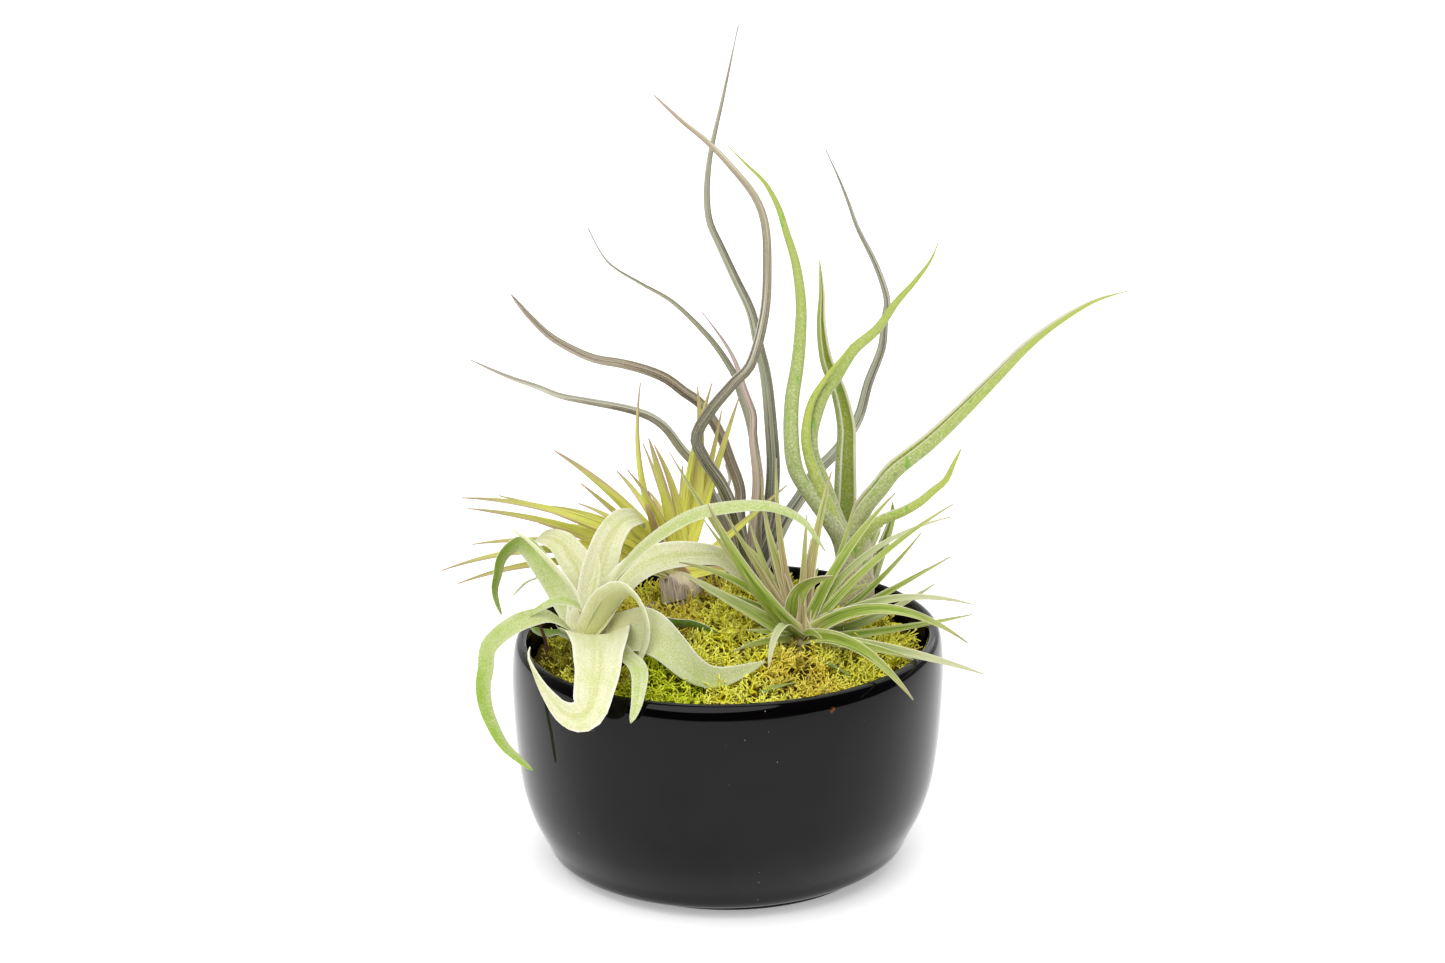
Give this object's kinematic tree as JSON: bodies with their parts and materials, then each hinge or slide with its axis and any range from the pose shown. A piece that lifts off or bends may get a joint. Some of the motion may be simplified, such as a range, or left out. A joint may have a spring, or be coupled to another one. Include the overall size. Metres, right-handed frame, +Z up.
{
  "type": "air plant bowl garden",
  "caption": "Round glazed bowl filled with dried moss clumps, planted with wiry, tentacle-leaved, ribbon-leaved, spiky and tufted air plants.",
  "frame": {"origin": "on the bowl's axis, on its flat underside", "axes": "+Z up along the bowl's axis, -Y towards the front, +X to the right seen from the front"},
  "size_m": [0.2612, 0.1805, 0.3121],
  "materials": {
    "black_glaze": "glossy black glaze",
    "filler_bark": "dry bark chips",
    "moss_lime": "dried reindeer moss, yellow-green",
    "moss_green": "dried reindeer moss, fresh green",
    "moss_olive": "dried reindeer moss, olive brown",
    "wiry_leaf": "living leaf, striated grey-green and purple-brown",
    "tentacle_leaf": "living leaf, green with pale speckled bloom",
    "ribbon_leaf": "living leaf, silvery pale green bloom",
    "spiky_leaf": "living leaf, yellow-green to bronze",
    "tufted_leaf": "living leaf, fresh green with grey-brown tips",
    "twig": "dry brown stem",
    "scrap_leaf": "dropped green leaf",
    "dry_leaf": "dead dry leaf, pale grey-brown"
  },
  "bodies": {
    "root": {"bowl": "black_glaze", "filler": "filler_bark", "moss_lime_front": "moss_lime", "moss_green_front_left": "moss_green", "moss_olive_front_right": "moss_olive", "moss_lime_front_right": "moss_lime", "moss_lime_right": "moss_lime", "moss_lime_back_right": "moss_lime", "moss_lime_centre": "moss_lime", "moss_lime_middle": "moss_lime", "moss_lime_front_left": "moss_lime", "moss_lime_left": "moss_lime", "moss_lime_back_left": "moss_lime", "moss_olive_middle": "moss_olive", "moss_olive_back": "moss_olive", "moss_lime_back": "moss_lime", "wiry_plant": "wiry_leaf", "tentacle_plant": "tentacle_leaf", "ribbon_plant": "ribbon_leaf", "spiky_plant": "spiky_leaf", "tufted_plant": "tufted_leaf", "dry_twig": "twig", "leaf_scrap_1": "scrap_leaf", "leaf_scrap_2": "scrap_leaf", "dry_scrap": "dry_leaf", "dry_stem": "twig"}
  },
  "joints": []
}
